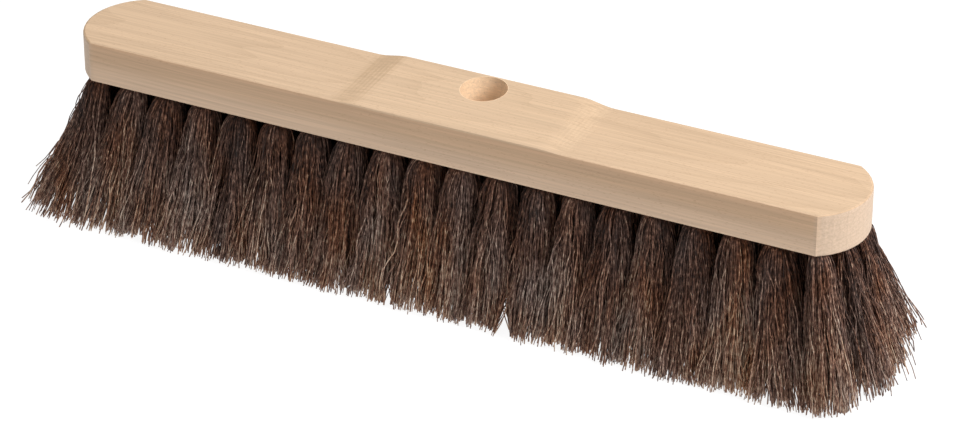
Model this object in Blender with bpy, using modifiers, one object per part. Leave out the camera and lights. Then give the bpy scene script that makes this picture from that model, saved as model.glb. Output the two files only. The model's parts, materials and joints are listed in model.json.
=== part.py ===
"""Push broom head: a one-piece beech saddle block with a slanted handle socket and
four rows of staple-set dark fibre tufts. Metres, +Z up, +X along the block.
The origin is under the middle of the block, at the level of the fibre tips."""

import math

import bmesh
import bpy
from mathutils import Matrix, Vector

# ---- wooden block -------------------------------------------------------------
BLOCK_LENGTH = 0.400
BLOCK_WIDTH = 0.052
BLOCK_THICKNESS = 0.0206
END_SAGITTA = 0.0140        # how far each end bows out past the corners
END_SEGMENTS = 16
EDGE_ROUNDING = 0.0010
EDGE_ROUNDING_STEPS = 2
ROUNDED_FROM = math.radians(50)     # only edges sharper than this are rounded

# ---- saddle: the thicker middle of the block --------------------------------------
SADDLE_X = 0.0034           # the saddle sits a little to the right, and so does the socket
SADDLE_RISE_REAR = 0.0022
SADDLE_RISE_FRONT = 0.0008
SADDLE_FLAT = 0.090
SADDLE_RAMP = 0.0165        # length of each ramp up to it
RAMP_STEPS = 8

# ---- handle socket --------------------------------------------------------------
SOCKET_DIAMETER = 0.022
SOCKET_TILT = math.radians(20.0)    # the handle leans back, towards +Y
SOCKET_MOUTH_X = 0.0039
SOCKET_MOUTH_Y = 0.0127
SOCKET_SIDES = 48
SOCKET_CUTTER_LENGTH = 0.080

# ---- tufts ----------------------------------------------------------------------
BRISTLE_LENGTH = 0.0705     # free length below the block
HOLE_DIAMETER = 0.0080
HOLE_DEPTH = 0.0100
TUFT_SIDES = 12
ROOT_RADIUS = 0.00355       # the bundle's own radius inside its hole
ROOT_END_GAP = 0.0004
NECK_DROP = 0.010           # how far below the block a bundle's neck is
NECK_RADIUS = 0.0063
CELL_GAP = 0.0004           # between neighbouring bundles at the tips
CELL_OVERLAP = 0.0010       # where bundles of one node grow together
OUTER_ROW_Y = 0.0195
OUTER_COLUMNS = 20
OUTER_PITCH = 0.01947
REAR_FIRST = 0.0130         # from the saddle's centre to the nearest rear tufts
INNER_ROW_Y = 0.0065
INNER_COLUMNS_PER_SIDE = 10
INNER_FIRST = 0.0190        # from the saddle's centre to the nearest inner tufts
INNER_LAST = 0.1900
INNER_REACH = 0.1995        # where the last inner column's share of the underside ends
SOCKET_SHARE = 0.0040       # inner tips stop this far from the saddle's centre
JOINED_END_COLUMNS = 2      # inner columns that make up each end cluster
SIDE_FLARE = 41.0 / 26.0    # how much wider the brush is at its tips
END_LEAN = 0.0151           # how far tips lean out that are rooted LEAN_REACH from the middle
LEAN_REACH = 0.190
LEAN_POWER = 3.0
ROUND = 2.0                 # superellipse exponents of a bundle's outline
CELL_SQUARENESS = 5.0
CORNER_SQUARENESS = 2.5

# ---- modelling tolerances and plain colours -----------------------------------------
CUT_CLEARANCE = 0.010       # how far cutting shapes pass the wood
HOLE_OVERSHOOT = 0.002
MERGE_DISTANCE = 1e-6
FLAT_WITHIN = 1e-4
WOOD_SHARP_FROM = math.radians(25)
TUFT_SHARP_FROM = math.radians(40)
WOOD_COLOUR = (0.70, 0.52, 0.35)
WOOD_ROUGHNESS = 0.60
FIBRE_COLOUR = (0.045, 0.026, 0.018)
FIBRE_ROUGHNESS = 0.75

UNDERSIDE_Z = BRISTLE_LENGTH
TOP_Z = UNDERSIDE_Z + BLOCK_THICKNESS


def clear_scene():
    for old in list(bpy.data.objects):
        bpy.data.objects.remove(old, do_unlink=True)


def new_collection(name):
    collection = bpy.data.collections.new(name)
    bpy.context.scene.collection.children.link(collection)
    return collection


def new_material(name, colour, roughness):
    material = bpy.data.materials.new(name)
    material.use_nodes = True
    shader = material.node_tree.nodes["Principled BSDF"]
    shader.inputs["Base Color"].default_value = (*colour, 1.0)
    shader.inputs["Roughness"].default_value = roughness
    shader.inputs["Metallic"].default_value = 0.0
    return material


def add_object(name, mesh, collection, material=None):
    obj = bpy.data.objects.new(name, mesh)
    collection.objects.link(obj)
    if material is not None:
        mesh.materials.append(material)
    return obj


def as_cutter(obj):
    obj.hide_render = True
    obj.display_type = "WIRE"
    return obj


def add_boolean(obj, other, operation):
    modifier = obj.modifiers.new(operation.lower(), "BOOLEAN")
    modifier.operation = operation
    modifier.solver = "EXACT"
    modifier.object = other
    return modifier


# ---- the block ------------------------------------------------------------------
def extruded_outline(name, points, thickness, collection):
    """A closed flat outline given in X and Y, made solid over z = 0 to thickness."""
    curve = bpy.data.curves.new(name, "CURVE")
    curve.dimensions = "2D"
    curve.fill_mode = "BOTH"
    curve.extrude = thickness / 2
    spline = curve.splines.new("POLY")
    spline.points.add(len(points) - 1)
    for point, (x, y) in zip(spline.points, points):
        point.co = (x, y, 0.0, 1.0)
    spline.use_cyclic_u = True
    flat = bpy.data.objects.new(name + "_curve", curve)
    collection.objects.link(flat)
    bpy.context.view_layer.update()
    evaluated = flat.evaluated_get(bpy.context.evaluated_depsgraph_get())
    mesh = bpy.data.meshes.new_from_object(evaluated)
    bpy.data.objects.remove(flat)
    bm = bmesh.new()
    bm.from_mesh(mesh)
    bmesh.ops.remove_doubles(bm, verts=bm.verts, dist=MERGE_DISTANCE)
    bmesh.ops.dissolve_limit(bm, angle_limit=FLAT_WITHIN, verts=bm.verts, edges=bm.edges)
    bmesh.ops.translate(bm, vec=(0, 0, thickness / 2), verts=bm.verts)
    bmesh.ops.recalc_face_normals(bm, faces=bm.faces)
    bm.to_mesh(mesh)
    bm.free()
    return mesh


def end_arc(side):
    """Points along one bowed end, from its rear corner round to its front corner."""
    half = BLOCK_WIDTH / 2
    radius = (half**2 + END_SAGITTA**2) / (2 * END_SAGITTA)
    reach = math.asin(half / radius)
    centre = BLOCK_LENGTH / 2 - radius
    steps = [reach - 2 * reach * i / END_SEGMENTS for i in range(END_SEGMENTS + 1)]
    return [(side * (centre + radius * math.cos(a)), side * radius * math.sin(a)) for a in steps]


def plan_outline():
    return end_arc(1) + end_arc(-1)


def saddle_share(x):
    """0 beside the saddle, 1 on its flat top, and a smooth ramp between them."""
    into_ramp = SADDLE_FLAT / 2 + SADDLE_RAMP - abs(x - SADDLE_X)
    return (1 - math.cos(math.pi * min(max(into_ramp / SADDLE_RAMP, 0.0), 1.0))) / 2


def side_outline():
    """The block's rear edge seen from the front: flat underside, and a saddle in the top."""
    foot = SADDLE_FLAT / 2 + SADDLE_RAMP
    steps = [foot - SADDLE_RAMP * i / RAMP_STEPS for i in range(RAMP_STEPS + 1)]
    across = [SADDLE_X + x for x in steps] + [SADDLE_X - x for x in reversed(steps)]
    top = [(x, BLOCK_THICKNESS + SADDLE_RISE_REAR * saddle_share(x)) for x in across]
    past = BLOCK_LENGTH / 2 + CUT_CLEARANCE
    return [(past, 0.0), (past, BLOCK_THICKNESS)] + top + [(-past, BLOCK_THICKNESS), (-past, 0.0)]


def saddle_rise(y):
    """Height of the saddle's top above the rest of the block: it falls towards the front."""
    middle = (SADDLE_RISE_REAR + SADDLE_RISE_FRONT) / 2
    return middle + (SADDLE_RISE_REAR - SADDLE_RISE_FRONT) * y / BLOCK_WIDTH


def socket_cutter(collection):
    """The slanted round bore that the handle is pushed into."""
    bpy.ops.mesh.primitive_cylinder_add(
        vertices=SOCKET_SIDES,
        radius=SOCKET_DIAMETER / 2,
        depth=SOCKET_CUTTER_LENGTH,
        location=(SOCKET_MOUTH_X, SOCKET_MOUTH_Y, TOP_Z + saddle_rise(SOCKET_MOUTH_Y)),
        rotation=(-SOCKET_TILT, 0.0, 0.0),
    )
    cutter = bpy.context.active_object
    cutter.name = "socket_cutter"
    for home in list(cutter.users_collection):
        home.objects.unlink(cutter)
    collection.objects.link(cutter)
    return as_cutter(cutter)


def hole_cutter(roots, collection):
    """One mesh with every tuft hole, drilled up into the underside."""
    bm = bmesh.new()
    for x, y in roots:
        place = Matrix.Translation((x, y, UNDERSIDE_Z + (HOLE_DEPTH - HOLE_OVERSHOOT) / 2))
        bmesh.ops.create_cone(
            bm,
            cap_ends=True,
            segments=TUFT_SIDES,
            radius1=HOLE_DIAMETER / 2,
            radius2=HOLE_DIAMETER / 2,
            depth=HOLE_DEPTH + HOLE_OVERSHOOT,
            matrix=place @ Matrix.Rotation(math.pi / TUFT_SIDES, 4, "Z"),
        )
    mesh = bpy.data.meshes.new("tuft_holes")
    bm.to_mesh(mesh)
    bm.free()
    return as_cutter(add_object("tuft_holes", mesh, collection))


def profile_cutter(collection):
    """The side outline as a solid across the block."""
    depth = BLOCK_WIDTH + 2 * CUT_CLEARANCE
    side = extruded_outline("saddle_profile", side_outline(), depth, collection)
    side.transform(Matrix.Translation((0, depth / 2, 0)) @ Matrix.Rotation(math.pi / 2, 4, "X"))
    return as_cutter(add_object("saddle_profile", side, collection))


def lower_saddle_front(mesh):
    """Bring the saddle's top down towards the front, the block's other faces left as they are."""
    for vert in mesh.vertices:
        share = saddle_share(vert.co.x)
        made = BLOCK_THICKNESS + share * SADDLE_RISE_REAR
        wanted = BLOCK_THICKNESS + share * saddle_rise(vert.co.y)
        vert.co.z *= wanted / made


def make_block(roots, parts, cutters, wood):
    plan = extruded_outline("plan", plan_outline(), BLOCK_THICKNESS + CUT_CLEARANCE, cutters)
    blank = as_cutter(add_object("block_blank", plan, cutters))
    add_boolean(blank, profile_cutter(cutters), "INTERSECT")
    bevel = blank.modifiers.new("eased_edges", "BEVEL")
    bevel.width = EDGE_ROUNDING
    bevel.segments = EDGE_ROUNDING_STEPS
    bevel.limit_method = "ANGLE"
    bevel.angle_limit = ROUNDED_FROM
    bpy.context.view_layer.update()
    shaped = blank.evaluated_get(bpy.context.evaluated_depsgraph_get())
    mesh = bpy.data.meshes.new_from_object(shaped)
    mesh.materials.clear()
    lower_saddle_front(mesh)

    block = add_object("broom_block", mesh, parts, wood)
    block.location = (0, 0, UNDERSIDE_Z)
    add_boolean(block, socket_cutter(cutters), "DIFFERENCE")
    add_boolean(block, hole_cutter(roots, cutters), "DIFFERENCE")
    block.data.shade_smooth()
    block.data.set_sharp_from_angle(angle=WOOD_SHARP_FROM)
    return block


# ---- tufts ------------------------------------------------------------------------
def leaned(x):
    """Where a point at x on the underside ends up at the tips."""
    return x + math.copysign(END_LEAN * (abs(x) / LEAN_REACH) ** LEAN_POWER, x)


def ring(centre, half_x, half_y, z, squareness):
    """A superellipse of TUFT_SIDES points that reaches half_x and half_y exactly."""
    points = []
    power = 2.0 / squareness
    angles = [math.pi / TUFT_SIDES + 2 * math.pi * i / TUFT_SIDES for i in range(TUFT_SIDES)]
    widest = max(abs(math.cos(a)) ** power for a in angles)
    for a in angles:
        x = math.copysign(abs(math.cos(a)) ** power, math.cos(a)) / widest
        y = math.copysign(abs(math.sin(a)) ** power, math.sin(a)) / widest
        points.append(Vector((centre[0] + half_x * x, centre[1] + half_y * y, z)))
    return points


def loft(name, rings):
    """A closed solid through rings of equal point counts, top to bottom."""
    bm = bmesh.new()
    edges = []
    loops = []
    for points in rings:
        verts = [bm.verts.new(p) for p in points]
        loop = [bm.edges.new((verts[i - 1], verts[i])) for i in range(len(verts))]
        loops.append(verts)
        edges.append(loop)
    for upper, lower in zip(edges, edges[1:]):
        bmesh.ops.bridge_loops(bm, edges=upper + lower)
    bm.faces.new(loops[0])
    bm.faces.new(loops[-1])
    bmesh.ops.recalc_face_normals(bm, faces=bm.faces)
    mesh = bpy.data.meshes.new(name)
    bm.to_mesh(mesh)
    bm.free()
    mesh.shade_smooth()
    mesh.set_sharp_from_angle(angle=TUFT_SHARP_FROM)
    return mesh


def tuft_mesh(name, root, cell, squareness):
    """A bundle from its drilled hole to its footprint (x0, x1, y0, y1) at the tips."""
    x0, x1, y0, y1 = cell
    x, y = root
    tip = ((x0 + x1) / 2, (y0 + y1) / 2)
    share = NECK_DROP / BRISTLE_LENGTH
    neck = (x + (tip[0] - x) * share, y + (tip[1] - y) * share)
    rings = [
        ring(root, ROOT_RADIUS, ROOT_RADIUS, UNDERSIDE_Z + HOLE_DEPTH - ROOT_END_GAP, ROUND),
        ring(root, ROOT_RADIUS, ROOT_RADIUS, UNDERSIDE_Z - ROOT_END_GAP, ROUND),
        ring(neck, NECK_RADIUS, NECK_RADIUS, UNDERSIDE_Z - NECK_DROP, ROUND),
        ring(tip, (x1 - x0) / 2, (y1 - y0) / 2, 0.0, squareness),
    ]
    return loft(name, rings)


def front_columns():
    """X of the front row's tufts, left to right, evenly spaced about the middle."""
    return [(i - (OUTER_COLUMNS - 1) / 2) * OUTER_PITCH for i in range(OUTER_COLUMNS)]


def side_columns(side, first, last, count):
    """X of evenly spaced tufts from beside the socket out to one end (side -1 is left)."""
    near = SADDLE_X + side * first
    step = (side * last - near) / (count - 1)
    return [near + step * i for i in range(count)]


def rear_columns():
    """X of the rear row's tufts, left to right, spaced to leave the socket's wall whole."""
    half = OUTER_COLUMNS // 2
    last = front_columns()[-1]
    left, right = (side_columns(side, REAR_FIRST, last, half) for side in (-1, 1))
    return left[::-1] + right


def inner_columns(side):
    """X of the inner rows' columns on one side, the nearest to the socket first."""
    return side_columns(side, INNER_FIRST, INNER_LAST, INNER_COLUMNS_PER_SIDE)


def shared_edges(columns, first, last):
    """The edges between neighbouring tufts' shares of the underside."""
    return [first] + [(a + b) / 2 for a, b in zip(columns, columns[1:])] + [last]


def outer_cell(x0, x1, side, inner_edge):
    """An outer tuft's footprint at the tips, from its share (x0 to x1) of the underside."""
    reach = BLOCK_WIDTH / 2 * SIDE_FLARE
    near = inner_edge + CELL_GAP / 2
    x0 = leaned(x0) + CELL_GAP / 2
    x1 = leaned(x1) - CELL_GAP / 2
    return (x0, x1, near, reach) if side > 0 else (x0, x1, -reach, -near)


def inner_cell(x0, x1, y, inner_edge, grows_left, grows_right):
    """Inner bundles reach past y = 0, so the two side by side grow together."""
    far = inner_edge - CELL_GAP / 2
    x0 = leaned(x0) + (-CELL_OVERLAP if grows_left else CELL_GAP) / 2
    x1 = leaned(x1) - (-CELL_OVERLAP if grows_right else CELL_GAP) / 2
    return (x0, x1, -CELL_OVERLAP, far) if y > 0 else (x0, x1, -far, CELL_OVERLAP)


def make_outer_row(label, side, columns, inner_edge, parts, fibre):
    reach = OUTER_COLUMNS * OUTER_PITCH / 2
    edges = shared_edges(columns, -reach, reach)
    for i, x in enumerate(columns):
        at_corner = i in (0, OUTER_COLUMNS - 1)
        squareness = CORNER_SQUARENESS if at_corner else CELL_SQUARENESS
        name = f"{label}_tuft_{i + 1:02d}"
        cell = outer_cell(edges[i], edges[i + 1], side, inner_edge)
        mesh = tuft_mesh(name, (x, side * OUTER_ROW_Y), cell, squareness)
        add_object(name, mesh, parts, fibre)


def make_inner_cluster(name, side, members, inner_edge, parts, cutters, fibre):
    """The inner bundles of one or more columns (counted from the socket), joined into one solid."""
    columns = inner_columns(side)
    edges = shared_edges(columns, SADDLE_X + side * SOCKET_SHARE, side * INNER_REACH)
    cluster = None
    for k in members:
        near, far = edges[k - 1], edges[k]
        grows_near, grows_far = k - 1 in members, k + 1 in members
        left, right = (grows_near, grows_far) if side > 0 else (grows_far, grows_near)
        for y in (-INNER_ROW_Y, INNER_ROW_Y):
            cell = inner_cell(min(near, far), max(near, far), y, inner_edge, left, right)
            mesh = tuft_mesh(name, (columns[k - 1], y), cell, CELL_SQUARENESS)
            if cluster is None:
                cluster = add_object(name, mesh, parts, fibre)
            else:
                mate = as_cutter(add_object(f"{name}_mate", mesh, cutters))
                add_boolean(cluster, mate, "UNION")


def make_inner_rows(inner_edge, parts, cutters, fibre):
    last_single = INNER_COLUMNS_PER_SIDE - JOINED_END_COLUMNS
    for label, side in (("left", -1), ("right", 1)):
        for k in range(1, last_single + 1):
            name = f"centre_tufts_{label}_{k}"
            make_inner_cluster(name, side, [k], inner_edge, parts, cutters, fibre)
        ends = list(range(last_single + 1, INNER_COLUMNS_PER_SIDE + 1))
        make_inner_cluster(f"end_tufts_{label}", side, ends, inner_edge, parts, cutters, fibre)


def main():
    clear_scene()
    parts = new_collection("push_broom")
    cutters = new_collection("push_broom_cutters")
    wood = new_material("beech", WOOD_COLOUR, WOOD_ROUGHNESS)
    fibre = new_material("dark_fibre", FIBRE_COLOUR, FIBRE_ROUGHNESS)

    roots = [(x, -OUTER_ROW_Y) for x in front_columns()]
    roots += [(x, OUTER_ROW_Y) for x in rear_columns()]
    for side in (-1, 1):
        roots += [(x, y) for x in inner_columns(side) for y in (-INNER_ROW_Y, INNER_ROW_Y)]
    make_block(roots, parts, cutters, wood)

    inner_edge = (OUTER_ROW_Y + INNER_ROW_Y) / 2 * SIDE_FLARE
    make_outer_row("front", -1, front_columns(), inner_edge, parts, fibre)
    make_outer_row("rear", 1, rear_columns(), inner_edge, parts, fibre)
    make_inner_rows(inner_edge, parts, cutters, fibre)


main()
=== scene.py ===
"""Looks for the push broom head: fibre tufts made of separate fibres, their wire
anchors, bare beech for the block, a pale floor, soft light and the camera."""

import json
import math

import bmesh
import bpy
import numpy as np
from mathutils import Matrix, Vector


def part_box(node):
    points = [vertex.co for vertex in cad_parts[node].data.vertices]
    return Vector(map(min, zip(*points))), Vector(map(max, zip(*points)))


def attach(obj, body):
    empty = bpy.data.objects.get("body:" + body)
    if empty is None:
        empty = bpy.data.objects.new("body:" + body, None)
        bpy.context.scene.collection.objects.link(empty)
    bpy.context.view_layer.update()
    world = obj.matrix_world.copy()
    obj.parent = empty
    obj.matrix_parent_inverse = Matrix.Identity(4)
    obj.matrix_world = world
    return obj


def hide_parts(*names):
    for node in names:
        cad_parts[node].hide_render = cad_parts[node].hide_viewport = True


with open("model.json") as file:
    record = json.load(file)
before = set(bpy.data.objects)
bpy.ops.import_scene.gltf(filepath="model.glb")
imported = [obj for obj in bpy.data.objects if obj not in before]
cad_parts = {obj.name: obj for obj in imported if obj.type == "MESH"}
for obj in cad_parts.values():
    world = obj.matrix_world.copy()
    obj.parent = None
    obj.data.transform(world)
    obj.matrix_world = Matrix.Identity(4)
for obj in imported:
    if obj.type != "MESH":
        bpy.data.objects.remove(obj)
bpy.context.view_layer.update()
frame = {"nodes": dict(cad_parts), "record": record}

BLOCK = "broom_block"
SEED = 20
LEVEL_WITHIN = 1e-4         # points this close in height belong to one flat end
HOLE_DECIMALS = 4           # holes that agree to a tenth of a millimetre share a column or row

# ---- number, length and thickness of the fibres ----------------------------------
END_ZONE = 0.172            # tufts rooted farther out than this count as the ends
OUTER_FROM = 0.012          # and tufts farther to the front or rear than this as the outer rows
FIBRES_PER_TUFT = 230
OUTER_FIBRES_PER_TUFT = 380
END_FIBRES_PER_TUFT = 330
FIBRE_POINTS = 18
POINT_CROWDING = 1.25       # puts more of a fibre's points near the block
FIBRE_SIDES = 3
FIBRE_TURNS = 7.0           # turns of the sides' direction from the first fibre to the last
FIBRE_RADIUS = (0.00020, 0.00035)
FIBRE_LENGTH = 0.0765
RIGHT_FIBRE_LENGTH = 0.0735     # at the right end
SHORT_SHARE = 0.08          # this share of the fibres is shorter by up to SHORT_BY
SHORT_BY = 0.008
UNEVEN_TIPS = 0.0005
UNEVEN_LOCKS = 0.0005
TIP_CLEARANCE = 0.0003      # between the lowest tips and the floor

# ---- shape of a bundle -----------------------------------------------------------
ROOT_RADIUS = 0.0035        # in its hole
ROOT_SPAN = 2.6 * ROOT_RADIUS   # points of one bundle's round end lie within this of each other
HIDDEN_LENGTH = 0.0065      # how far up its hole each fibre is drawn
NECK_RADIUS = 0.0073        # the bundle springs open to this just below the block
END_NECK_RADIUS = 0.0056
NECK_DROP = 0.0021
NECK_LEAN = 0.06
CELL_FILL = (1.36, 1.05)    # of its share of the tip plane, except at the right end
TIP_JITTER = 0.0020
RIM_BIAS = 0.43             # 0.5 would spread the fibres evenly over the bundle

# ---- locks of fibres that cling together, and the fibres' waves ------------------
LOCKS = 12                  # in each bundle
LOCK_PULL = (0.02, 0.17)
LOCK_DRIFT = 0.0010
WAVES = (                   # size, and the fewest and most turns along a fibre
    (0.00075, 0.7, 1.5),
    (0.00055, 1.8, 3.0),
    (0.00034, 3.2, 4.6),
)
LOCK_WAVE = 0.0005
LOCK_WAVE_TURNS = 0.8
WAVE_FADE = 5               # waves fade in over the first fifth of a fibre

# ---- strays, which stand away from their bundle ----------------------------------
STRAY_SHARE = 0.015
END_STRAY_SHARE = 0.04
STRAY_ANGLE = (14.0, 26.0)
END_STRAY_ANGLE = (21.0, 35.0)
STRAY_REACH = (0.8, 1.0)
REACH_LIMIT = (0.236, 0.049)

# ---- outline of the whole brush --------------------------------------------------
SPREAD_FROM = 0.188         # tips beyond this fan out farther at the left end
SPREAD_BY = 1.10
FLARE_FROM = 0.022          # tips farther to the front or rear than this move outwards,
FLARE_MADE = 0.0425         # those at this distance
FLARE_TO = 0.0455           # to this one
FLARE_CROWDING = 0.60       # below 1, which crowds them towards the outside
RIGHT_BULGE = 1.04          # the right end opens early and then hangs straighter
LEFT_SPREAD = 1.25          # the left end opens late
LATE_SPREAD = 1.18          # and so do the tufts between the ends
PARTINGS = (                # place, half width and reach of the gaps in the front half
    (0.0401, 0.0036, 0.0050),
    (-0.0195, 0.0014, 0.004),
)
PARTING_SLANT = 0.50
PARTING_ONSET = 3.5         # how late the partings open along a fibre

# ---- fibre colours ---------------------------------------------------------------
TONE = 0.385
TUFT_TONE_SPREAD = 0.05
LOCK_TONE_SPREAD = 0.06
FIBRE_TONE_SPREAD = 0.10
PALE_SHARE = 0.03
PALE_TONES = (0.55, 0.72)
FIBRE_COLOURS = (
    (0.00, (0.021, 0.0090, 0.0058)),
    (0.35, (0.094, 0.043, 0.028)),
    (0.60, (0.208, 0.106, 0.073)),
    (0.80, (0.35, 0.208, 0.145)),
    (1.00, (0.53, 0.385, 0.285)),
)
PATCH_REPEATS = (800.0, 800.0, 380.0)   # per metre, as all repeats here
PATCH_CONTRAST = 1.90
# Painted shade darkens each fibre near the block; wear and painted light from below pale it towards its tip.
WEAR_AND_PAINTED_LIGHT_ALONG = (0.12, 0.95)   # share of the length over which a fibre turns paler
WEAR_AND_PAINTED_LIGHT_TONES = (-0.065, 0.29)
BATCH_REPEATS = (75.0, 75.0, 22.0)
BATCH_SHIFT = (0.3, 4.1, 0.0)
BATCH_SATURATION = (0.46, 1.1)      # least saturation, and how much the noise adds
FIBRE_ROUGHNESS = (0.42, 0.25)      # least roughness, and how much the noise adds
FIBRE_SPECULAR = 0.3

# ---- wire anchors, one across each hole, over which the bundle is folded ---------
STAPLE_HEIGHT = 0.0085      # above the underside of the block
STAPLE_HALF = 0.0050
STAPLE_LEG = 0.0040
STAPLE_WIDTH = 0.0016
STAPLE_THICKNESS = 0.0003
WIRE_WEAR_REPEATS = (900.0, 900.0, 900.0)
WIRE_DULL = (0.50, 0.49, 0.47)
WIRE_BRIGHT = (0.66, 0.65, 0.62)
WIRE_ROUGHNESS = 0.38

# ---- wood ------------------------------------------------------------------------
BEECH_PALE = (0.700, 0.503, 0.335)
BEECH_WARM = (0.622, 0.427, 0.262)
BEECH_LATE = (0.42, 0.28, 0.165)
BEECH_RAY = (0.36, 0.20, 0.11)
PITH_Y = 0.006              # the rings' centre lies below the block
PITH_Z = 0.004
PITH_FALL = 0.030           # and falls by this share of X
RINGS_PER_METRE = 420.0
RING_SHARPNESS = 4.0
RING_DRIFT_REPEATS = (5.0, 22.0, 22.0)
RING_DRIFT = 0.012
STREAK_REPEATS = (14.0, 1100.0, 1100.0)
BROAD_REPEATS = (7.0, 60.0, 60.0)
TINT_REPEATS = (4.0, 16.0, 30.0)
TINT_SHIFT = (3.1, 1.7, 0.4)
RAY_REPEATS = (240.0, 1500.0, 1500.0)
TINT_STRENGTH = 0.55
LATE_STRENGTH = 0.17
RAY_SIZE = 0.17
RAY_PATCHES = 0.47          # rays show where the broad noise is above this
RAY_STRENGTH = 0.42
GRAIN_LIGHTNESS = (0.71, 0.58)      # least lightness, and how much the streaks add
WOOD_ROUGHNESS = (0.47, 0.22)       # least roughness, and how much the streaks add
WOOD_SPECULAR = 0.35
GRAIN_BUMP = 0.25
GRAIN_DEPTH = 0.00012
# Painted shade darkens the block's sides towards the top and painted floor bounce light lightens them
# towards the bottom.
SIDE_PAINTED_SHADE_AND_BOUNCE = (
    (0.000, (1.04, 1.06, 1.14)),
    (0.300, (0.97, 0.97, 1.02)),
    (0.550, (0.89, 0.845, 0.82)),
    (0.885, (0.86, 0.79, 0.75)),
    (0.905, (1.0, 1.0, 1.0)),
)
SOCKET_RADIUS = 0.01125
# Painted light brightening the wall inside the handle socket, a recess the lamps leave darker.
SOCKET_PAINTED_LIGHT = (1.36, 1.39, 1.40)
# Painted shade on the saddle ramp that leans towards -X, away from the key light.
RAMP_PAINTED_SHADE = (0.90, 0.875, 0.83)
RAMP_STEEPNESS = -8.0       # turns the lean of an upward face towards -X, away from the key light, into a share of this painted ramp shade
UPWARD = 0.9                # faces whose normal rises more than this face up
END_GRAIN = (0.835, 0.868, 0.96)
END_GRAIN_FROM = 0.184
END_GRAIN_ONSET = 250.0     # per metre
END_GRAIN_BELOW = 0.89      # share of the block's height

# ---- stage and light -------------------------------------------------------------
FLOOR_SIZE = 8.0
FLOOR_COLOUR = (0.15, 0.15, 0.15, 1.0)
FLOOR_ROUGHNESS = 0.85
FLOOR_GLOW = 0.92
WHITE = (1.0, 1.0, 1.0, 1.0)
WORLD_STRENGTH = 0.30
LAMPS = (                   # name, place, diameter and power
    ("key", (1.70, 0.0, 1.26), 1.1, 39.0),
    ("top", (-0.3, 0.45, 2.0), 1.2, 17.0),
)

# ---- camera ----------------------------------------------------------------------
CAMERA_AZIMUTH = math.radians(26.75)
CAMERA_ELEVATION = math.radians(28.39)
CAMERA_DISTANCE = 1.789     # from the middle of the block's thickness at its ends
END_THICKNESS = 0.0206
FOCAL_LENGTH = 145.70
SENSOR_WIDTH = 36.0
AIM_RIGHT = 0.00635
AIM_UP = -0.04215


# ---- small helpers ---------------------------------------------------------------
def smooth(t):
    return t * t * (3 - 2 * t)


def disc_points(rng, count):
    """Random points in the unit disc, a little closer together near its rim."""
    radius = rng.random(count) ** RIM_BIAS
    angle = rng.random(count) * 2 * np.pi
    return np.stack([radius * np.cos(angle), radius * np.sin(angle)], axis=1)


def disc_to_square(points):
    """The disc stretched over the square from -1 to 1, edge to edge."""
    radius = np.linalg.norm(points, axis=1, keepdims=True)
    longest = np.abs(points).max(axis=1, keepdims=True)
    return points * radius / np.maximum(longest, 1e-6)


def add_object(name, data):
    obj = bpy.data.objects.new(name, data)
    bpy.context.scene.collection.objects.link(obj)
    return obj


# ---- where the tufts are, from the frame -----------------------------------------
def node_points(name):
    mesh = frame["nodes"][name].data
    points = np.zeros(len(mesh.vertices) * 3, np.float32)
    mesh.vertices.foreach_get("co", points)
    return points.reshape(-1, 3).astype(float)


def root_centres(points):
    """The middle of each bundle's round end, at the top of its hole."""
    top = points[points[:, 2] > points[:, 2].max() - LEVEL_WITHIN][:, :2]
    centres = []
    while len(top):
        near = np.linalg.norm(top - top[0], axis=1) < ROOT_SPAN
        low, high = top[near].min(axis=0), top[near].max(axis=0)
        centres.append((low + high) / 2)
        top = top[~near]
    return np.array(sorted(map(tuple, centres)))


def tuft_layout(name):
    """Every (root, low corner, high corner) of a node's bundles: hole centre and tip footprint."""
    points = node_points(name)
    tips = points[points[:, 2] < LEVEL_WITHIN][:, :2]
    low, high = tips.min(axis=0), tips.max(axis=0)
    roots = root_centres(points)
    columns = np.unique(np.round(roots[:, 0], HOLE_DECIMALS))
    rows = np.unique(np.round(roots[:, 1], HOLE_DECIMALS))
    x_edges = np.linspace(low[0], high[0], len(columns) + 1)
    y_edges = np.linspace(low[1], high[1], len(rows) + 1)
    layout = []
    for root in roots:
        i = int(np.argmin(abs(columns - root[0])))
        j = int(np.argmin(abs(rows - root[1])))
        layout.append((root, (x_edges[i], y_edges[j]), (x_edges[i + 1], y_edges[j + 1])))
    return layout


# ---- fibres ----------------------------------------------------------------------
def brush_outline(tip):
    """Tips moved to the whole brush's outline: wider at the left end, fuller at front and rear."""
    tip[:, 0] -= np.maximum(-tip[:, 0] - SPREAD_FROM, 0.0) * (SPREAD_BY - 1)
    flare = (abs(tip[:, 1]) - FLARE_FROM) / (FLARE_MADE - FLARE_FROM)
    crowded = FLARE_FROM + (FLARE_TO - FLARE_FROM) * np.maximum(flare, 0.0) ** FLARE_CROWDING
    tip[:, 1] = np.where(flare > 0, np.sign(tip[:, 1]) * crowded, tip[:, 1])
    return tip


def throw_strays(rng, root, tip, share, angles):
    """Tips with a few of the fibres standing farther out, at angles in degrees from straight down."""
    count = len(tip)
    stray = rng.random(count) < share
    angle = np.radians(rng.uniform(*angles, count))
    outward = tip - root
    outward /= np.linalg.norm(outward, axis=1, keepdims=True)
    reach = FIBRE_LENGTH * np.sin(angle) * rng.uniform(*STRAY_REACH, count)
    thrown = root + outward * reach[:, None]
    farther = np.linalg.norm(thrown - root, axis=1) > np.linalg.norm(tip - root, axis=1)
    tip = np.where((stray & farther)[:, None], thrown, tip)
    return np.clip(tip, -np.array(REACH_LIMIT), REACH_LIMIT)


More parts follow.
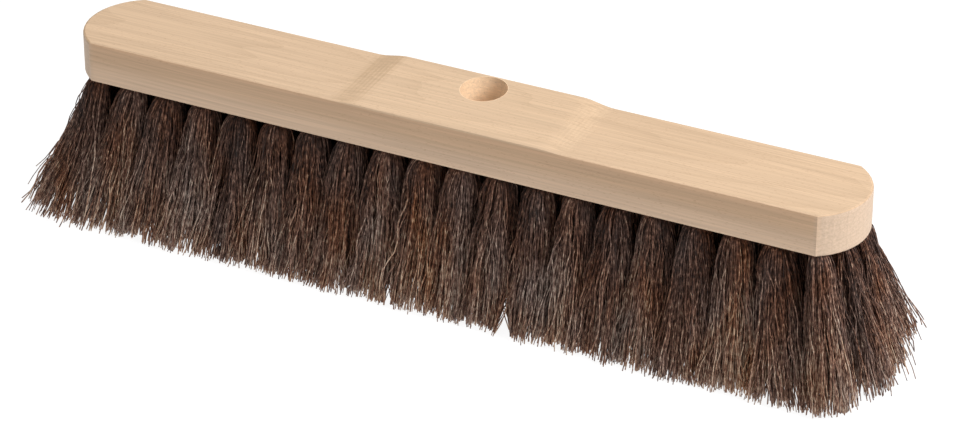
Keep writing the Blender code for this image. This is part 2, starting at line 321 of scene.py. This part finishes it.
def tip_heights(rng, start, tip, lock, length, underside):
    """How high each tip hangs: fibres that lean farther reach less far down, and some are short."""
    count = len(tip)
    across = np.linalg.norm(tip - start, axis=1)
    reach = np.sqrt(length**2 - across**2)
    short = np.where(rng.random(count) < SHORT_SHARE, rng.random(count) * SHORT_BY, 0.0)
    height = np.maximum(underside - reach, TIP_CLEARANCE) + rng.exponential(UNEVEN_TIPS, count)
    return height + rng.exponential(UNEVEN_LOCKS, LOCKS)[lock] + short


def waves(rng, lock, free):
    """Sideways waves of every fibre, the same for the fibres of a lock in part."""
    count = len(lock)
    wave = np.zeros((count, FIBRE_POINTS, 2))
    for size, slow, fast in WAVES:
        amount = rng.normal(0, size, (count, 1, 2))
        phase = rng.random((count, 1, 2)) * 2 * np.pi
        rate = rng.uniform(slow, fast, (count, 1, 1)) * 2 * np.pi
        wave += amount * np.sin(rate * free[None, :, None] + phase)
    lock_amount = rng.normal(0, LOCK_WAVE, (LOCKS, 1, 2))[lock]
    lock_phase = (rng.random((LOCKS, 1, 2)) * 2 * np.pi)[lock]
    wave += lock_amount * np.sin(2 * LOCK_WAVE_TURNS * np.pi * free[None, :, None] + lock_phase)
    return wave * smooth(np.clip(free * WAVE_FADE, 0, 1))[None, :, None]


def fibre_tones(rng, lock):
    count = len(lock)
    tone = TONE + rng.normal(0, TUFT_TONE_SPREAD) + rng.normal(0, LOCK_TONE_SPREAD, LOCKS)[lock]
    tone = tone + rng.normal(0, FIBRE_TONE_SPREAD, count)
    tone = np.where(rng.random(count) < PALE_SHARE, rng.uniform(*PALE_TONES, count), tone)
    return np.clip(tone, 0, 1)


def fibre_paths(rng, root, low, high, underside):
    """Centre lines of one tuft's fibres, each from inside the hole down to its tip, and their tones."""
    low, high = np.array(low), np.array(high)
    at_end = abs(root[0]) > END_ZONE
    at_right_end = at_end and root[0] > 0
    outer = abs(root[1]) > OUTER_FROM
    count = END_FIBRES_PER_TUFT if at_end else OUTER_FIBRES_PER_TUFT if outer else FIBRES_PER_TUFT
    inside = disc_points(rng, count)
    lock_centre = disc_points(rng, LOCKS)
    lock = np.argmin(np.linalg.norm(inside[:, None] - lock_centre[None], axis=2), axis=1)

    spread_out = np.asarray if at_right_end and outer else disc_to_square
    half = (high - low) / 2 * (1.0 if at_right_end else np.array(CELL_FILL))
    middle = (high + low) / 2
    start = root + inside * ROOT_RADIUS
    neck = root + (middle - root) * NECK_LEAN + inside * (END_NECK_RADIUS if at_end else NECK_RADIUS)
    tip = middle + half * spread_out(inside) + rng.normal(0, TIP_JITTER, (count, 2))
    lock_tip = middle + half * spread_out(lock_centre)
    pull = rng.uniform(*LOCK_PULL, LOCKS)[lock][:, None]
    tip = tip + (lock_tip[lock] - tip) * pull + rng.normal(0, LOCK_DRIFT, (LOCKS, 2))[lock]
    tip = brush_outline(tip)
    share, angles = (END_STRAY_SHARE, END_STRAY_ANGLE) if at_end else (STRAY_SHARE, STRAY_ANGLE)
    tip = throw_strays(rng, root, tip, share, angles)
    length = RIGHT_FIBRE_LENGTH if at_right_end else FIBRE_LENGTH
    tip_z = tip_heights(rng, start, tip, lock, length, underside)

    free = np.concatenate([[0.0], np.linspace(0, 1, FIBRE_POINTS - 1) ** POINT_CROWDING])
    drop = (underside - tip_z)[:, None] * free[None]
    opened = (1 - np.exp(-drop / NECK_DROP))[:, :, None]
    if at_right_end:
        lean = 1 - (1 - free) ** RIGHT_BULGE
    else:
        lean = free ** (LEFT_SPREAD if at_end else LATE_SPREAD)
    path = np.empty((count, FIBRE_POINTS, 3))
    path[:, :, :2] = start[:, None] + (neck - start)[:, None] * opened
    path[:, :, :2] += (tip - neck)[:, None] * lean[None, :, None]
    path[:, :, 2] = underside - drop
    path[:, 0, 2] += HIDDEN_LENGTH
    path[:, :, :2] += waves(rng, lock, free)

    if root[1] < 0:
        for place, width, spread in PARTINGS:
            away = path[:, :, 0] - place + PARTING_SLANT * (path[:, :, 1] - low[1])
            opening = width * np.exp(-(away / spread) ** 2) * free[None] ** PARTING_ONSET
            path[:, :, 0] += np.sign(away[:, -1:]) * opening

    return path, fibre_tones(rng, lock)


def add_point_values(mesh, name, values):
    attribute = mesh.attributes.new(name, "FLOAT", "POINT")
    attribute.data.foreach_set("value", values.astype(np.float32).ravel())


def tube_mesh(name, paths, radii, tones):
    """One mesh of closed three-sided fibres."""
    count, points = paths.shape[:2]
    along = np.gradient(paths, axis=1)
    along /= np.linalg.norm(along, axis=2, keepdims=True)
    turn = np.linspace(0, 2 * np.pi, count, endpoint=False) * FIBRE_TURNS
    aside = np.stack([np.cos(turn), np.sin(turn), np.zeros(count)], axis=1)[:, None]
    aside = aside - along * np.sum(aside * along, axis=2, keepdims=True)
    aside /= np.linalg.norm(aside, axis=2, keepdims=True)
    third = np.cross(along, aside)
    angles = 2 * np.pi * np.arange(FIBRE_SIDES) / FIBRE_SIDES
    ring = aside[:, :, None] * np.cos(angles)[:, None] + third[:, :, None] * np.sin(angles)[:, None]
    verts = paths[:, :, None] + ring * radii[:, None, None, None]

    index = np.arange(count * points * FIBRE_SIDES).reshape(count, points, FIBRE_SIDES)
    following = np.roll(index, -1, axis=2)
    quads = np.stack([index[:, :-1], following[:, :-1], following[:, 1:], index[:, 1:]], axis=3)
    quads = quads.reshape(-1, 4)
    caps = np.concatenate([index[:, 0, ::-1], index[:, -1]])
    corners = np.concatenate([quads.ravel(), caps.ravel()]).astype(np.int32)
    sizes = np.concatenate([np.full(len(quads), 4), np.full(len(caps), FIBRE_SIDES)])
    starts = np.concatenate([[0], np.cumsum(sizes)[:-1]]).astype(np.int32)

    mesh = bpy.data.meshes.new(name)
    mesh.vertices.add(index.size)
    mesh.vertices.foreach_set("co", verts.astype(np.float32).ravel())
    mesh.loops.add(len(corners))
    mesh.loops.foreach_set("vertex_index", corners)
    mesh.polygons.add(len(sizes))
    mesh.polygons.foreach_set("loop_start", starts)
    mesh.polygons.foreach_set("use_smooth", np.ones(len(sizes), bool))
    mesh.update(calc_edges=True)
    mesh.validate()
    add_point_values(mesh, "fibre_tone", np.repeat(tones, points * FIBRE_SIDES))
    share = np.linspace(0, 1, points)
    add_point_values(mesh, "fibre_share", np.broadcast_to(share[None, :, None], index.shape))
    return mesh


def make_tufts(name, rng, underside, material):
    """All the fibres of one CAD node's bundles, as one piece that replaces the node."""
    paths = []
    tones = []
    for root, low, high in tuft_layout(name):
        path, tone = fibre_paths(rng, root, low, high, underside)
        paths.append(path)
        tones.append(tone)
    paths = np.concatenate(paths)
    radii = rng.uniform(*FIBRE_RADIUS, len(paths))
    mesh = tube_mesh(name + "_fibres", paths, radii, np.concatenate(tones))
    mesh.materials.append(material)
    tuft = add_object(name + "_fibres", mesh)
    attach(tuft, "root")
    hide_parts(name)


# ---- wire anchors ----------------------------------------------------------------
def make_staples(names, underside, metal):
    """Every flat-wire staple of the brush, as one piece: a crown across the hole and two legs up."""
    half, inner = STAPLE_HALF, STAPLE_HALF - STAPLE_THICKNESS
    outline = [
        (-half, STAPLE_LEG), (-half, 0.0), (half, 0.0), (half, STAPLE_LEG),
        (inner, STAPLE_LEG), (inner, STAPLE_THICKNESS), (-inner, STAPLE_THICKNESS), (-inner, STAPLE_LEG),
    ]
    sides = ((0, 1, 6, 7), (1, 2, 5, 6), (2, 3, 4, 5))
    bm = bmesh.new()
    for name in names:
        for root, _, _ in tuft_layout(name):
            rows = [
                [bm.verts.new((root[0] + x, root[1] + y, underside + STAPLE_HEIGHT + z)) for x, z in outline]
                for y in (-STAPLE_WIDTH / 2, STAPLE_WIDTH / 2)
            ]
            for side in sides:
                for row in rows:
                    bm.faces.new([row[i] for i in side])
            for i in range(len(outline)):
                bm.faces.new((rows[0][i - 1], rows[0][i], rows[1][i], rows[1][i - 1]))
    bmesh.ops.recalc_face_normals(bm, faces=bm.faces)
    mesh = bpy.data.meshes.new("anchor_staples")
    bm.to_mesh(mesh)
    bm.free()
    mesh.materials.append(metal)
    staples = add_object("anchor_staples", mesh)
    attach(staples, "root")


# ---- shader nodes ----------------------------------------------------------------
def new_material(name):
    material = bpy.data.materials.new(name)
    material.use_nodes = True
    tree = material.node_tree
    return material, tree, tree.nodes["Principled BSDF"]


def connect(tree, socket, value):
    """Link the socket to another one, or set it to a plain value."""
    if isinstance(value, bpy.types.NodeSocket):
        tree.links.new(value, socket)
    else:
        socket.default_value = value


def add_node(tree, kind, settings=(), **inputs):
    node = tree.nodes.new(kind)
    for key, value in dict(settings).items():
        setattr(node, key, value)
    for key, value in inputs.items():
        connect(tree, node.inputs[key.replace("_", " ")], value)
    return node


def add_math(tree, operation, *values, clamp=False):
    node = add_node(tree, "ShaderNodeMath", {"operation": operation, "use_clamp": clamp})
    for socket, value in zip(node.inputs, values):
        connect(tree, socket, value)
    return node.outputs[0]


def add_vector_math(tree, operation, *values, **inputs):
    node = add_node(tree, "ShaderNodeVectorMath", {"operation": operation}, **inputs)
    for socket, value in zip(node.inputs, values):
        connect(tree, socket, value)
    return node.outputs["Value" if operation == "LENGTH" else "Vector"]


def add_ramp(tree, factor, stops):
    node = tree.nodes.new("ShaderNodeValToRGB")
    tree.links.new(factor, node.inputs[0])
    elements = node.color_ramp.elements
    while len(elements) < len(stops):
        elements.new(0.5)
    for element, (place, colour) in zip(elements, stops):
        element.position = place
        element.color = (*colour, 1.0)
    return node.outputs[0]


def add_mix(tree, factor, first, second, blend="MIX"):
    node = add_node(tree, "ShaderNodeMix", {"data_type": "RGBA", "blend_type": blend})
    for name, value in (("Factor_Float", factor), ("A_Color", first), ("B_Color", second)):
        socket = next(s for s in node.inputs if s.identifier == name)
        connect(tree, socket, (*value, 1.0) if isinstance(value, tuple) else value)
    return next(s for s in node.outputs if s.identifier == "Result_Color")


def stretched(tree, coordinates, repeats, shift=(0.0, 0.0, 0.0)):
    """Object coordinates scaled per axis, in repeats per metre."""
    node = add_node(tree, "ShaderNodeMapping", Vector=coordinates, Scale=repeats, Location=shift)
    return node.outputs["Vector"]


def noise(tree, vector, detail=3.0, roughness=0.55, output="Fac"):
    node = add_node(
        tree, "ShaderNodeTexNoise", Vector=vector, Scale=1.0, Detail=detail, Roughness=roughness
    )
    return node.outputs[output]


def object_coordinates(tree):
    return add_node(tree, "ShaderNodeTexCoord").outputs["Object"]


def from_least(tree, amount, least_and_gain):
    """The least value plus the gain times the amount."""
    least, gain = least_and_gain
    return add_math(tree, "MULTIPLY_ADD", amount, gain, least)


# ---- materials -------------------------------------------------------------------
def fibre_material():
    """Dark fibre: every one has its own tone, is patchy along its length, darker near the block from painted
    shade and paler towards its tip from wear and painted light from below.
    """
    material, tree, shader = new_material("dark_natural_fibre")
    tone = add_node(tree, "ShaderNodeAttribute", {"attribute_name": "fibre_tone"}).outputs["Fac"]
    share = add_node(tree, "ShaderNodeAttribute", {"attribute_name": "fibre_share"}).outputs["Fac"]
    coordinates = object_coordinates(tree)
    patch = noise(tree, stretched(tree, coordinates, PATCH_REPEATS), detail=2.0)
    uneven = add_math(tree, "MULTIPLY", add_math(tree, "SUBTRACT", patch, 0.5), PATCH_CONTRAST)
    shifted = add_math(tree, "ADD", tone, uneven)
    # Painted shade near the block, wear and painted light from below towards the tip.
    wear_and_painted_light = add_node(
        tree, "ShaderNodeMapRange", {"interpolation_type": "SMOOTHSTEP"}, Value=share,
        From_Min=WEAR_AND_PAINTED_LIGHT_ALONG[0], From_Max=WEAR_AND_PAINTED_LIGHT_ALONG[1], To_Min=WEAR_AND_PAINTED_LIGHT_TONES[0], To_Max=WEAR_AND_PAINTED_LIGHT_TONES[1],
    )
    tone_with_wear_and_painted_light = add_math(tree, "ADD", shifted, wear_and_painted_light.outputs["Result"], clamp=True)
    colour = add_ramp(tree, tone_with_wear_and_painted_light, FIBRE_COLOURS)
    batch = noise(tree, stretched(tree, coordinates, BATCH_REPEATS, BATCH_SHIFT), detail=1.0)
    saturation = from_least(tree, batch, BATCH_SATURATION)
    dyed = add_node(tree, "ShaderNodeHueSaturation", Saturation=saturation, Color=colour)
    tree.links.new(dyed.outputs["Color"], shader.inputs["Base Color"])
    tree.links.new(from_least(tree, patch, FIBRE_ROUGHNESS), shader.inputs["Roughness"])
    shader.inputs["Specular IOR Level"].default_value = FIBRE_SPECULAR
    return material


def staple_material():
    material, tree, shader = new_material("plated_wire")
    wear = noise(tree, stretched(tree, object_coordinates(tree), WIRE_WEAR_REPEATS))
    tree.links.new(add_mix(tree, wear, WIRE_DULL, WIRE_BRIGHT), shader.inputs["Base Color"])
    shader.inputs["Metallic"].default_value = 1.0
    shader.inputs["Roughness"].default_value = WIRE_ROUGHNESS
    return material


def late_wood(tree, coordinates):
    """Growth rings about a pith below the block, strongest at the end of each year's growth."""
    drift = noise(tree, stretched(tree, coordinates, RING_DRIFT_REPEATS), 2.0, 0.5, "Color")
    centred = add_vector_math(tree, "SUBTRACT", drift, (0.5, 0.5, 0.5))
    scaled = add_vector_math(tree, "SCALE", centred, Scale=RING_DRIFT)
    bent = add_vector_math(tree, "ADD", coordinates, scaled)
    xyz = add_node(tree, "ShaderNodeSeparateXYZ", Vector=bent).outputs
    away_y = add_math(tree, "SUBTRACT", xyz["Y"], PITH_Y)
    fall = add_math(tree, "MULTIPLY", xyz["X"], PITH_FALL)
    away_z = add_math(tree, "ADD", add_math(tree, "SUBTRACT", xyz["Z"], PITH_Z), fall)
    y_squared = add_math(tree, "MULTIPLY", away_y, away_y)
    z_squared = add_math(tree, "MULTIPLY", away_z, away_z)
    radius = add_math(tree, "SQRT", add_math(tree, "ADD", y_squared, z_squared))
    ring = add_math(tree, "FRACT", add_math(tree, "MULTIPLY", radius, RINGS_PER_METRE))
    return add_math(tree, "POWER", ring, RING_SHARPNESS)


def inside_socket(tree, coordinates):
    """1 on the wall of the handle socket, below its mouth, and 0 elsewhere: where painted light brightens
    the wall.
    """
    mount = next(m for m in frame["record"]["mounts"] if m["name"] == "handle_socket")
    to_point = add_vector_math(tree, "SUBTRACT", coordinates, mount["pos_m"])
    across = add_vector_math(tree, "CROSS_PRODUCT", to_point, mount["axis"])
    away = add_vector_math(tree, "LENGTH", across)
    return add_math(tree, "LESS_THAN", away, SOCKET_RADIUS)


def face_tones_and_painted_light(tree, coordinates, low, high):
    """How light each face of the block is: painted shade on the sides towards the top and painted bounce
    light towards the bottom, darker end grain, painted shade on the ramp and painted light in the socket.
    """
    place = add_node(tree, "ShaderNodeSeparateXYZ", Vector=coordinates).outputs
    above = add_math(tree, "SUBTRACT", place["Z"], low.z)
    level = add_math(tree, "DIVIDE", above, high.z - low.z, clamp=True)
    # Painted shade towards the top of the sides, painted bounce light towards the bottom.
    side = add_ramp(tree, level, SIDE_PAINTED_SHADE_AND_BOUNCE)

    past = add_math(tree, "SUBTRACT", add_math(tree, "ABSOLUTE", place["X"]), END_GRAIN_FROM)
    at_end = add_math(tree, "MULTIPLY", past, END_GRAIN_ONSET, clamp=True)
    below_top = add_math(tree, "LESS_THAN", level, END_GRAIN_BELOW)
    painted_light_toned = add_mix(tree, add_math(tree, "MULTIPLY", at_end, below_top), side, END_GRAIN)

    # Painted shade on upward faces that lean towards -X, away from the key light.
    normal = add_node(tree, "ShaderNodeNewGeometry").outputs["Normal"]
    facing = add_node(tree, "ShaderNodeSeparateXYZ", Vector=normal).outputs
    ramp_painted_shade_share = add_math(tree, "MULTIPLY", facing["X"], RAMP_STEEPNESS, clamp=True)
    on_top = add_math(tree, "GREATER_THAN", facing["Z"], UPWARD)
    painted_light_toned = add_mix(tree, add_math(tree, "MULTIPLY", ramp_painted_shade_share, on_top), painted_light_toned, RAMP_PAINTED_SHADE)
    # Painted light brightens the socket wall.
    return add_mix(tree, inside_socket(tree, coordinates), painted_light_toned, SOCKET_PAINTED_LIGHT)


def ray_flecks(tree, coordinates):
    """The short dark rays of beech, in patches."""
    repeated = stretched(tree, coordinates, RAY_REPEATS)
    cells = add_node(tree, "ShaderNodeTexVoronoi", {"feature": "F1"}, Vector=repeated, Scale=1.0)
    ray = add_math(tree, "LESS_THAN", cells.outputs["Distance"], RAY_SIZE)
    broad = noise(tree, stretched(tree, coordinates, BROAD_REPEATS))
    picked = add_math(tree, "GREATER_THAN", broad, RAY_PATCHES)
    return add_math(tree, "MULTIPLY", add_math(tree, "MULTIPLY", ray, picked), RAY_STRENGTH)


def beech_material(low, high):
    """Bare beech sawn along X: soft growth bands, fine pores and the short dark rays of the wood, with
    painted shade and painted light on its faces.
    """
    material, tree, shader = new_material("bare_beech")
    coordinates = object_coordinates(tree)
    streak = noise(tree, stretched(tree, coordinates, STREAK_REPEATS), detail=4.0, roughness=0.6)
    tint = noise(tree, stretched(tree, coordinates, TINT_REPEATS, TINT_SHIFT), detail=1.0)

    body = add_mix(tree, add_math(tree, "MULTIPLY", tint, TINT_STRENGTH), BEECH_PALE, BEECH_WARM)
    late = add_math(tree, "MULTIPLY", late_wood(tree, coordinates), LATE_STRENGTH)
    banded = add_mix(tree, late, body, BEECH_LATE)
    # Multiplies in the painted shade and painted light of the block's faces, and the darker end grain.
    painted_light_toned = add_mix(tree, 1.0, banded, face_tones_and_painted_light(tree, coordinates, low, high), "MULTIPLY")
    grain = from_least(tree, streak, GRAIN_LIGHTNESS)
    lit = add_vector_math(tree, "SCALE", painted_light_toned, Scale=grain)
    flecked = add_mix(tree, ray_flecks(tree, coordinates), lit, BEECH_RAY)
    tree.links.new(flecked, shader.inputs["Base Color"])

    tree.links.new(from_least(tree, streak, WOOD_ROUGHNESS), shader.inputs["Roughness"])
    shader.inputs["Specular IOR Level"].default_value = WOOD_SPECULAR
    bump = add_node(tree, "ShaderNodeBump", Height=streak, Strength=GRAIN_BUMP, Distance=GRAIN_DEPTH)
    tree.links.new(bump.outputs["Normal"], shader.inputs["Normal"])
    return material


# ---- stage, light and camera -----------------------------------------------------
def make_floor():
    material, _, shader = new_material("pale_floor")
    shader.inputs["Base Color"].default_value = FLOOR_COLOUR
    shader.inputs["Roughness"].default_value = FLOOR_ROUGHNESS
    shader.inputs["Emission Color"].default_value = WHITE
    shader.inputs["Emission Strength"].default_value = FLOOR_GLOW
    bpy.ops.mesh.primitive_plane_add(size=FLOOR_SIZE, location=(0.0, 0.0, 0.0))
    floor = bpy.context.active_object
    floor.name = "floor"
    floor.data.materials.append(material)


def area_light(name, place, size, power):
    light = bpy.data.lights.new(name, "AREA")
    light.shape = "DISK"
    light.size = size
    light.energy = power
    lamp = add_object(name, light)
    lamp.location = place
    lamp.rotation_euler = (-Vector(place)).to_track_quat("-Z", "Y").to_euler()


def make_light():
    world = bpy.data.worlds.new("studio")
    world.use_nodes = True
    background = world.node_tree.nodes["Background"]
    background.inputs["Color"].default_value = WHITE
    background.inputs["Strength"].default_value = WORLD_STRENGTH
    bpy.context.scene.world = world
    for lamp in LAMPS:
        area_light(*lamp)
    bpy.context.scene.view_settings.view_transform = "Standard"


def make_camera(centre):
    camera = bpy.data.cameras.new("camera")
    camera.lens = FOCAL_LENGTH
    camera.sensor_width = SENSOR_WIDTH
    eye = add_object("camera", camera)
    level = math.cos(CAMERA_ELEVATION)
    back = Vector((
        math.sin(CAMERA_AZIMUTH) * level,
        -math.cos(CAMERA_AZIMUTH) * level,
        math.sin(CAMERA_ELEVATION),
    ))
    right = Vector((math.cos(CAMERA_AZIMUTH), math.sin(CAMERA_AZIMUTH), 0.0))
    aim = centre + right * AIM_RIGHT + back.cross(right) * AIM_UP
    eye.location = centre + back * CAMERA_DISTANCE
    eye.rotation_euler = (aim - eye.location).to_track_quat("-Z", "Y").to_euler()
    bpy.context.scene.camera = eye


def main():
    low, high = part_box(BLOCK)
    make_camera(Vector((0.0, 0.0, low.z + END_THICKNESS / 2)))
    make_floor()
    make_light()

    beech = beech_material(low, high)
    for slot in frame["nodes"][BLOCK].material_slots:
        slot.material = beech

    fibre = fibre_material()
    rng = np.random.default_rng(SEED)
    bundles = [name for name in sorted(frame["nodes"]) if name != BLOCK]
    for name in bundles:
        make_tufts(name, rng, low.z, fibre)
    make_staples(bundles, low.z, staple_material())


main()
